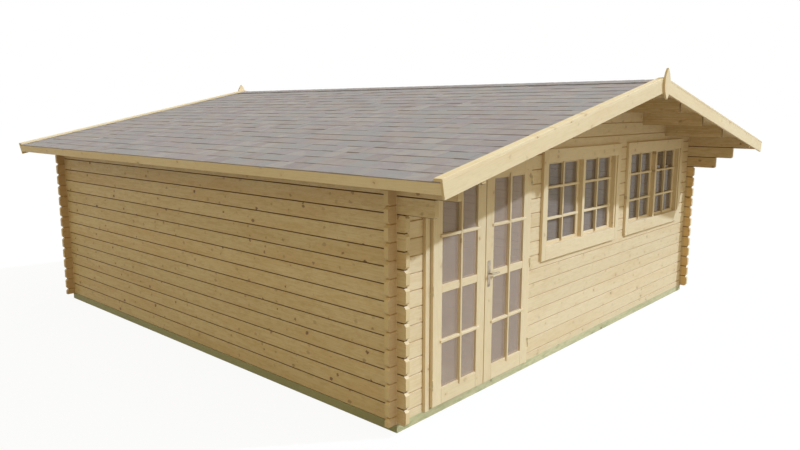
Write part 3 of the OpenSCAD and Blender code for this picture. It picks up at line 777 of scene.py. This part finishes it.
def gable_trim():
    """Bargeboards with a cap board over each, at the front and at the back."""
    for name, node, y in (
        ("front_bargeboard_planks", "front_bargeboards", barge_low.y),
        ("back_bargeboard_planks", "back_bargeboards", back_barge_low.y),
    ):
        boards = Boards()
        for side in (-1, 1):
            gable_board(boards, side, y, SHINGLE - BARGEBOARD_HEIGHT, SHINGLE, TRIM_BOARD)
        boards.build(name, TRIM_WOOD, "cabin", "trim_wood", node)
    low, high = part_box("verge_caps")
    boards = Boards()
    for y in (low.y, high.y - CAP_WIDTH):
        for side in (-1, 1):
            gable_board(boards, side, y, SHINGLE + LAYER_GAP, CAP_TOP, CAP_WIDTH)
    boards.build("verge_cap_planks", TRIM_WOOD, "cabin", "trim_wood", "verge_caps")


def eave_fascia(side, name, node):
    boards = Boards()
    start = roof_point(side, SLOPE_LENGTH - TRIM_BOARD, -FASCIA_HEIGHT, BOARDS_FRONT)
    boards.board(
        start, (0, 1, 0), off_slope(side), down_slope(side),
        (BOARDS_BACK - BOARDS_FRONT, FASCIA_HEIGHT, TRIM_BOARD),
    )
    boards.build(name, TRIM_WOOD, "cabin", "trim_wood", node)


def floor():
    low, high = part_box("floor_boards")
    boards = Boards()
    count = round((high.x - low.x) / FLOOR_BOARD_WIDTH)
    wide = (high.x - low.x) / count
    for i in range(count):
        x0 = low.x + i * wide + BOARD_JOINT / 2
        boards.block((x0, low.y, low.z), (x0 + wide - BOARD_JOINT, high.y, high.z), "Y", FLOOR_EDGE)
    boards.build("floor_planks", FLOOR_WOOD, "cabin", "floor_wood", "floor_boards")


# Door and windows


def door_frame():
    """Jambs and head in three layers: the face, the lining in the wall and the stop."""
    low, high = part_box("door_frame")
    wall_low, wall_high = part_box("front_wall_door_to_window")
    leaf_low, leaf_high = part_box("left_door_leaf")
    front, wall, back = low.y, wall_low.y, high.y
    stop = leaf_high.y + STOP_START
    sill = low.z + THRESHOLD
    head = leaf_high.z + leaf_low.z - sill
    lining_top = wall_high.z
    boards = Boards()
    for edge, turn in ((low.x, 1), (high.x, -1)):
        def between(a, b):
            return sorted((edge + turn * a, edge + turn * b))
        for (x0, x1), y0, y1, z0, z1 in (
            (between(0, JAMB_FACE), front, wall, low.z, high.z),
            (between(JAMB_LAP, JAMB_FACE), wall, back, low.z, lining_top),
            (between(JAMB_FACE, JAMB_FACE + STOP_DEPTH), stop, back, sill, head - STOP_DEPTH),
        ):
            boards.block((x0, y0, z0), (x1, y1, z1), "Z")
    inner = (low.x + JAMB_FACE, high.x - JAMB_FACE)
    boards.block((inner[0], front, head), (inner[1], wall, high.z), "X")
    boards.block((inner[0], wall, head), (inner[1], back, lining_top), "X")
    boards.block((inner[0], stop, head - STOP_DEPTH), (inner[1], back, head), "X")
    boards.block((inner[0], wall, low.z), (inner[1], back, sill), "X", SILL_EDGE)
    boards.build("door_frame_planks", TRIM_WOOD, "cabin", "trim_wood", "door_frame")


def door_leaf(name, body, node, glass_node):
    """Two stiles, three rails, planted bars outside and inside, and beads round the panes."""
    low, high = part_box(node)
    glass_low, glass_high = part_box(glass_node)
    face = low.y + BAR_PROUD
    back = high.y
    x0, x1 = low.x + LEAF_STILE, high.x - LEAF_STILE
    z0, z1 = low.z + LEAF_RAIL, high.z - LEAF_RAIL
    lock = low.z + (high.z - low.z - LOCK_RAIL) / 2
    panes = ((z0, lock), (lock + LOCK_RAIL, z1))
    boards = Boards()
    boards.block((low.x, face, low.z), (x0, back, high.z), "Z")
    boards.block((x1, face, low.z), (high.x, back, high.z), "Z")
    for bottom, top in ((low.z, z0), (lock, lock + LOCK_RAIL), (z1, high.z)):
        boards.block((x0, face, bottom), (x1, back, top), "X")
    middle = (x0 + x1) / 2
    half = BAR_WIDTH / 2
    boards.block(
        (middle - half, low.y, z0 - BAR_OVER_STILE), (middle + half, face, z1 + BAR_OVER_STILE),
        "Z", SOFT_EDGE
    )
    for bottom, top in panes:
        bar = (bottom + top) / 2
        ends = ((x0 - BAR_OVER_STILE, middle - half), (middle + half, x1 + BAR_OVER_STILE))
        for a, b in ends:
            boards.block((a, low.y, bar - half), (b, face, bar + half), "X", SOFT_EDGE)
        for y0, y1 in ((face, glass_low.y), (glass_high.y, back - INNER_BAR_INSET)):
            boards.block((middle - half, y0, bottom), (middle + half, y1, top), "Z")
            for a, b in ((x0, middle - half), (middle + half, x1)):
                boards.block((a, y0, bar - half), (b, y1, bar + half), "X")
        inside, bead = glass_high.y, glass_high.y + GLASS_BEAD
        for a, b in ((x0, x0 + GLASS_BEAD), (x1 - GLASS_BEAD, x1)):
            boards.block((a, inside, bottom), (b, bead, top), "Z", SOFT_EDGE)
        for a, b in ((bottom, bottom + GLASS_BEAD), (top - GLASS_BEAD, top)):
            boards.block((x0 + GLASS_BEAD, inside, a), (x1 - GLASS_BEAD, bead, b), "X", SOFT_EDGE)
    boards.build(name, TRIM_WOOD, body, "trim_wood", node)


def core_ring(name, body, node, front, back, width, lower_front=None):
    """A thin ring of wood inside a frame or a leaf. Its lower side has a front of its own, or none."""
    low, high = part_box(node)
    x0, x1 = low.x + CORE_INSET, high.x - CORE_INSET
    z0, z1 = low.z + CORE_INSET, high.z - CORE_INSET
    boards = Boards()
    boards.block((x0, front, z0), (x0 + width, back, z1), "Z")
    boards.block((x1 - width, front, z0), (x1, back, z1), "Z")
    boards.block((x0 + width, front, z1 - width), (x1 - width, back, z1), "X")
    if lower_front is not None:
        boards.block((x0 + width, lower_front, z0), (x1 - width, back, z0 + width), "X")
    boards.build(name, TRIM_WOOD, body, "trim_wood")


def narrow_shadows():
    """Only the thin cores of the frames and leaves throw shadows, so these stay narrow."""
    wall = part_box("front_wall_below_windows")[0].y
    leaf_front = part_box("door_frame")[0].y - CORE_STEP
    core_ring("door_frame_core", "cabin", "door_frame", wall - CORE_STEP, wall, CORE_WIDTH)
    for number in (1, 2):
        core_ring(
            f"window_{number}_core", "cabin", f"window_{number}_frame", wall - CORE_STEP, wall,
            CORE_WIDTH, wall - CORE_SILL_STEP
        )
    for hand in ("left", "right"):
        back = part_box(f"{hand}_door_leaf")[1].y - CORE_INSET
        core_ring(
            f"{hand}_leaf_core", f"{hand}_door", f"{hand}_door_leaf", leaf_front, back,
            2 * CORE_WIDTH, leaf_front
        )
    for piece in (
        "door_frame_planks", "window_1_frame_planks", "window_2_frame_planks",
        "left_leaf_planks", "right_leaf_planks",
    ):
        bpy.data.objects[piece].visible_shadow = False
    for node in ("door_hinge_pins", "left_door_hinges", "right_door_hinges"):
        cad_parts[node].visible_shadow = False


def window_frame(name, node, sash_node):
    """Wide trim outside, and a frame in the wall that the sashes shut against from inside."""
    low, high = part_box(node)
    sash_low, sash_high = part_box(sash_node)
    wall_low, wall_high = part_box("front_wall_below_windows")
    wall, sill = wall_low.y, wall_high.z
    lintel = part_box("front_wall_between_windows")[1].z
    face, sash, back = low.y + FRAME_RECESS, sash_low.y + BAR_PROUD, high.y
    left, right = low.x + SIDE_TRIM, high.x - SIDE_TRIM
    bottom, top = low.z + BOTTOM_TRIM, high.z - TOP_TRIM
    middle = (left + right) / 2
    boards = Boards()
    boards.block((low.x, low.y, low.z), (left, wall, high.z), "Z")
    boards.block((right, low.y, low.z), (high.x, wall, high.z), "Z")
    boards.block((left, low.y, top), (right, wall, high.z), "X")
    boards.block((left, low.y, low.z), (right, wall, bottom), "X")
    for edge, turn in ((low.x, 1), (high.x, -1)):
        jamb = edge + turn * (SIDE_TRIM + WINDOW_JAMB)
        for outer, y0, y1, z0, z1 in (
            (edge + turn * SIDE_TRIM, face, wall, bottom, top),
            (edge + turn * OPENING_LAP, wall, back, sill, lintel),
        ):
            x0, x1 = sorted((outer, jamb))
            boards.block((x0, y0, z0), (x1, y1, z1), "Z")
    for y0, y1, z0, z1 in (
        (wall, sash, top, lintel), (sash, back, sash_high.z, lintel),
        (wall, sash, sill, bottom), (sash, back, sill, sash_low.z),
    ):
        boards.block((sash_low.x, y0, z0), (sash_high.x, y1, z1), "X")
    for half, y0, y1, z0, z1 in (
        (WINDOW_POST / 2, face, sash, bottom, top),
        (WINDOW_POST / 2 - SASH_LAP, sash, back, sash_low.z, sash_high.z),
    ):
        boards.block((middle - half, y0, z0), (middle + half, y1, z1), "Z")
    boards.build(name, TRIM_WOOD, "cabin", "trim_wood", node)


def window_sashes(name, node, glass_node):
    """Two sashes with a planted bar up the middle and two across, and plain bars inside."""
    low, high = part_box(node)
    glass_low, glass_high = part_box(glass_node)
    face = low.y + BAR_PROUD
    width = (high.x - low.x) / 2 - WINDOW_POST / 2 + SASH_LAP
    half = BAR_WIDTH / 2
    boards = Boards()
    for x in (low.x, high.x - width):
        x0, x1 = x + SASH_STILE, x + width - SASH_STILE
        z0, z1 = glass_low.z, glass_high.z
        boards.block((x, face, low.z), (x0, high.y, high.z), "Z", SOFT_EDGE)
        boards.block((x1, face, low.z), (x + width, high.y, high.z), "Z", SOFT_EDGE)
        boards.block((x0, face, low.z), (x1, high.y, z0), "X", SOFT_EDGE)
        boards.block((x0, face, z1), (x1, high.y, high.z), "X", SOFT_EDGE)
        middle = (x0 + x1) / 2
        row_middle, row_reach = (z0 + z1) / 2, (z1 - z0) * MIDDLE_ROW_SHARE / 2
        for y0, y1, over_rail, over_stile in (
            (low.y, face, BAR_OVER_RAIL, BAR_OVER_STILE),
            (face, glass_low.y, 0.0, 0.0), (glass_high.y, high.y - SASH_BAR_INSET, 0.0, 0.0),
        ):
            boards.block(
                (middle - half, y0, z0 - over_rail), (middle + half, y1, z1 + over_rail),
                "Z", SOFT_EDGE
            )
            for z in (row_middle - row_reach, row_middle + row_reach):
                for a, b in ((x0 - over_stile, middle - half), (middle + half, x1 + over_stile)):
                    boards.block((a, y0, z - half), (b, y1, z + half), "X", SOFT_EDGE)
    boards.build(name, TRIM_WOOD, "cabin", "trim_wood", node)


# Handle


def skin_rings(mesh, rings):
    """Joins rings of points, one after the other, and closes the first and the last."""
    for one, two in zip(rings, rings[1:]):
        for k in range(len(one)):
            after = (k + 1) % len(one)
            mesh.faces.new((one[k], one[after], two[after], two[k]))
    mesh.faces.new(rings[0][::-1])
    mesh.faces.new(rings[-1])


def swept(mesh, path, radii, sides):
    """Adds a closed tube of the given radii along a level path of points."""
    up = Vector((0, 0, 1))
    rings = []
    for i, (point, radius) in enumerate(zip(path, radii)):
        ahead = (path[min(i + 1, len(path) - 1)] - path[max(i - 1, 0)]).normalized()
        side = ahead.cross(up).normalized()
        turns = [2 * math.pi * k / sides for k in range(sides)]
        rings.append([
            mesh.verts.new(point + (side * math.cos(turn) + up * math.sin(turn)) * radius)
            for turn in turns
        ])
    skin_rings(mesh, rings)


def from_bmesh(name, mesh, material, body, slot, *replaced):
    """Turns a bmesh into a smooth-shaded piece with crisp edges."""
    bmesh.ops.recalc_face_normals(mesh, faces=mesh.faces)
    data = bpy.data.meshes.new(name)
    mesh.to_mesh(data)
    mesh.free()
    data.materials.append(material)
    data.shade_smooth()
    data.set_sharp_from_angle(angle=CREASE)
    place(bpy.data.objects.new(name, data), body, slot, *replaced)


def lever():
    """A round lever on each side that bends from its neck into the grip, on one spindle."""
    low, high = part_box("door_lever")
    plates_low, plates_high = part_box("door_handle_plates")
    centre_x = (plates_low.x + plates_high.x) / 2
    centre_z = (low.z + high.z) / 2

    def point(x, y):
        return Vector((x, y, centre_z))

    mesh = bmesh.new()
    for reach, plate in (
        (low.y + GRIP_INSET, plates_low.y), (high.y - GRIP_INSET, plates_high.y)
    ):
        inward = 1 if plate > reach else -1
        neck, bend_start = plate + inward * NECK_SINK, reach + inward * LEVER_BEND
        path = [point(centre_x, neck), point(centre_x, bend_start)]
        radii = [LEVER_RADIUS, LEVER_RADIUS]
        for step in range(1, BEND_STEPS + 1):
            angle = math.radians(90 * step / BEND_STEPS)
            path.append(point(
                centre_x + LEVER_BEND * (1 - math.cos(angle)),
                reach + inward * LEVER_BEND * (1 - math.sin(angle)),
            ))
            radii.append(LEVER_RADIUS - LEVER_TAPER * step / BEND_STEPS)
        grip_start = path[-1].x
        for share, radius in GRIP_RINGS:
            path.append(point(grip_start + (high.x - grip_start) * share, reach))
            radii.append(radius)
        swept(mesh, path, radii, GRIP_SIDES)
    spindle = [point(centre_x, plates_low.y), point(centre_x, plates_high.y)]
    swept(mesh, spindle, [SPINDLE_RADIUS] * 2, SPINDLE_SIDES)
    from_bmesh("lever_grips", mesh, HANDLE_STEEL, "lever", "handle_steel", "door_lever")


def outline_plate(mesh, x, z, half_width, half_height, corner, y_back, y_face, ease):
    """Adds a plate with round corners and an eased front edge."""

    def ring(inset, y):
        points = []
        for quarter, (sx, sz) in enumerate(((1, 1), (-1, 1), (-1, -1), (1, -1))):
            for k in range(CORNER_STEPS + 1):
                angle = math.radians(90 * quarter + 90 / CORNER_STEPS * k)
                reach = corner - inset
                points.append(mesh.verts.new((
                    x + sx * (half_width - corner) + reach * math.cos(angle), y,
                    z + sz * (half_height - corner) + reach * math.sin(angle),
                )))
        return points

    back_off = -ease if y_face > y_back else ease
    skin_rings(mesh, [
        ring(0, y_back), ring(0, y_face + back_off), ring(ease * 0.3, y_face + back_off * 0.3),
        ring(ease, y_face),
    ])


def handle_plates():
    """Long rounded plates on both sides, each with a collar, a lock cylinder and two screws."""
    low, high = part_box("door_handle_plates")
    lever_low, lever_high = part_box("door_lever")
    leaf_low, leaf_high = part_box("right_door_leaf")
    centre_x = (low.x + high.x) / 2
    spindle_z = (lever_low.z + lever_high.z) / 2
    lock_z = spindle_z - LOCK_DROP
    plates, dark = bmesh.new(), bmesh.new()
    details = []
    for z in (low.z + SCREW_INSET, high.z - SCREW_INSET):
        details += [(plates, z, SCREW_HEAD), (dark, z, SCREW_SLOT)]
    details += [
        (dark, lock_z - LOCK_HOLE_DROP, LOCK_HOLE), (plates, lock_z, LOCK_FACE), (dark, lock_z, KEY_SLOT)
    ]
    outline = ((high.x - low.x) / 2, (high.z - low.z) / 2, PLATE_CORNER)
    for wood, front in ((leaf_low.y + BAR_PROUD, low.y), (leaf_high.y, high.y)):
        out = 1 if front > wood else -1
        skin = wood + (front - wood) * PLATE_SHARE
        outline_plate(plates, centre_x, (low.z + high.z) / 2, *outline, wood, skin, PLATE_EDGE)
        outline_plate(plates, centre_x, spindle_z, *COLLAR, skin, front, COLLAR_EDGE)
        for mesh, z, (half_width, half_height, corner, rise, ease) in details:
            outline_plate(
                mesh, centre_x, z, half_width, half_height, corner, skin, skin + out * rise, ease
            )
    from_bmesh("handle_plates", plates, PLATE_STEEL, "right_door", "handle_steel", "door_handle_plates")
    # The slots and the hole round the lock are dark plates: painted shade of these recesses
    from_bmesh("lock_slots", dark, SLOT_SHADE_STEEL, "right_door", "handle_steel")


# Finish of the CAD nodes that stay

NODE_FINISH = (
    (TREATED, "treated_wood", ("foundation_beams", "floor_joists")),
    (LOGS_ALONG_Y, "log_wood", ("left_wall", "right_wall", "left_upper_logs", "right_upper_logs")),
    (LOGS_ALONG_X, "log_wood", (
        "back_wall", "back_gable", "front_gable", "front_wall_left_of_door",
        "front_wall_door_to_window", "front_wall_below_windows", "front_wall_between_windows",
        "front_wall_right_of_windows",
    )),
    (BEAMS_ALONG_Y, "roof_wood", ("ridge_beam", "purlins")),
    (FINIAL_WOOD, "trim_wood", ("front_finial", "back_finial")),
    (WINDOW_PANE_SHADED, "glass", ("window_1_glass", "window_2_glass")),
    (DOOR_PANE, "glass", ("left_door_glass", "right_door_glass")),
    (HINGE_STEEL, "hinge_steel", ("door_hinge_pins", "left_door_hinges", "right_door_hinges")),
)


def finish_nodes():
    for material, slot, names in NODE_FINISH:
        for name in names:
            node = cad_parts[name]
            node.data.materials.clear()
            node.data.materials.append(material)


# Camera, light and floor


def camera():
    """The main view, from the front left and from a little above the eaves."""
    data = bpy.data.cameras.new("camera")
    data.sensor_width = SENSOR_WIDTH
    data.lens = LENS
    data.clip_end = FAR_CLIP
    eye = bpy.data.objects.new("camera", data)
    level = math.cos(AIM_PITCH)
    aim = Vector((math.sin(AIM_YAW) * level, math.cos(AIM_YAW) * level, math.sin(AIM_PITCH)))
    eye.location = EYE
    eye.rotation_mode = "QUATERNION"
    eye.rotation_quaternion = aim.to_track_quat("-Z", "Y")
    bpy.context.scene.collection.objects.link(eye)
    bpy.context.scene.camera = eye


def seen_directly(net):
    """1 for rays that show the backdrop: from the camera, from a mirror or through glass."""
    path = net.add("ShaderNodeLightPath")
    shown = net.math("MAXIMUM", path.outputs["Is Camera Ray"], path.outputs["Is Glossy Ray"])
    return net.math("MAXIMUM", shown, path.outputs["Is Transmission Ray"])


def lights():
    for name, energy, angle, color, towards in LAMPS:
        sun = bpy.data.lights.new(name, "SUN")
        sun.energy = energy
        sun.angle = math.radians(angle)
        sun.color = color
        lamp = bpy.data.objects.new(name, sun)
        lamp.rotation_mode = "QUATERNION"
        lamp.rotation_quaternion = (-Vector(towards)).to_track_quat("-Z", "Y")
        bpy.context.scene.collection.objects.link(lamp)

    net = Net(bpy.data.worlds.new("sky"))
    fill = net.add("ShaderNodeBackground", {"Color": FILL_COLOR, "Strength": FILL_STRENGTH})
    white = net.add("ShaderNodeBackground", {"Color": WHITE, "Strength": 1.0})
    shown = seen_directly(net)
    mix = net.add("ShaderNodeMixShader", {0: shown, 1: fill.outputs[0], 2: white.outputs[0]})
    net.add("ShaderNodeOutputWorld", {"Surface": mix.outputs[0]})
    bpy.context.scene.world = net.owner


def ground():
    """A pale level floor that keeps a light shadow of the cabin."""
    around = ((-1, -1), (1, -1), (1, 1), (-1, 1))
    corners = [(x * GROUND_REACH, y * GROUND_REACH, 0) for x, y in around]
    mesh = bpy.data.meshes.new("ground")
    mesh.from_pydata(corners, [], [(0, 1, 2, 3)])
    net = material_net("ground")
    seen = seen_directly(net)
    tint = net.blend(seen, GROUND_LIT, GROUND_SEEN)
    matt = net.add("ShaderNodeBsdfDiffuse", {"Color": tint})
    bright = net.add("ShaderNodeEmission", {"Color": WHITE, "Strength": 1.0})
    share = net.math("MULTIPLY", seen, GROUND_WHITE)
    mix = net.add("ShaderNodeMixShader", {0: share, 1: matt.outputs[0], 2: bright.outputs[0]})
    net.add("ShaderNodeOutputMaterial", {"Surface": mix.outputs[0]})
    mesh.materials.append(net.owner)
    plane = bpy.data.objects.new("ground", mesh)
    bpy.context.scene.collection.objects.link(plane)


camera()
lights()
ground()
bpy.context.scene.view_settings.view_transform = "Standard"

finish_nodes()
shingle_slope(-1, "left_shingle_tabs", "left_shingles")
shingle_slope(1, "right_shingle_tabs", "right_shingles")
ridge_caps()
roof_deck(-1, "left_roof_deck", "left_roof_boards")
roof_deck(1, "right_roof_deck", "right_roof_boards")
gable_trim()
eave_fascia(-1, "left_fascia_plank", "left_eave_fascia")
eave_fascia(1, "right_fascia_plank", "right_eave_fascia")
floor()
door_frame()
door_leaf("left_leaf_planks", "left_door", "left_door_leaf", "left_door_glass")
door_leaf("right_leaf_planks", "right_door", "right_door_leaf", "right_door_glass")
handle_plates()
lever()
for number in (1, 2):
    window = f"window_{number}"
    window_frame(f"{window}_frame_planks", f"{window}_frame", f"{window}_sashes")
    window_sashes(f"{window}_sash_planks", f"{window}_sashes", f"{window}_glass")
narrow_shadows()
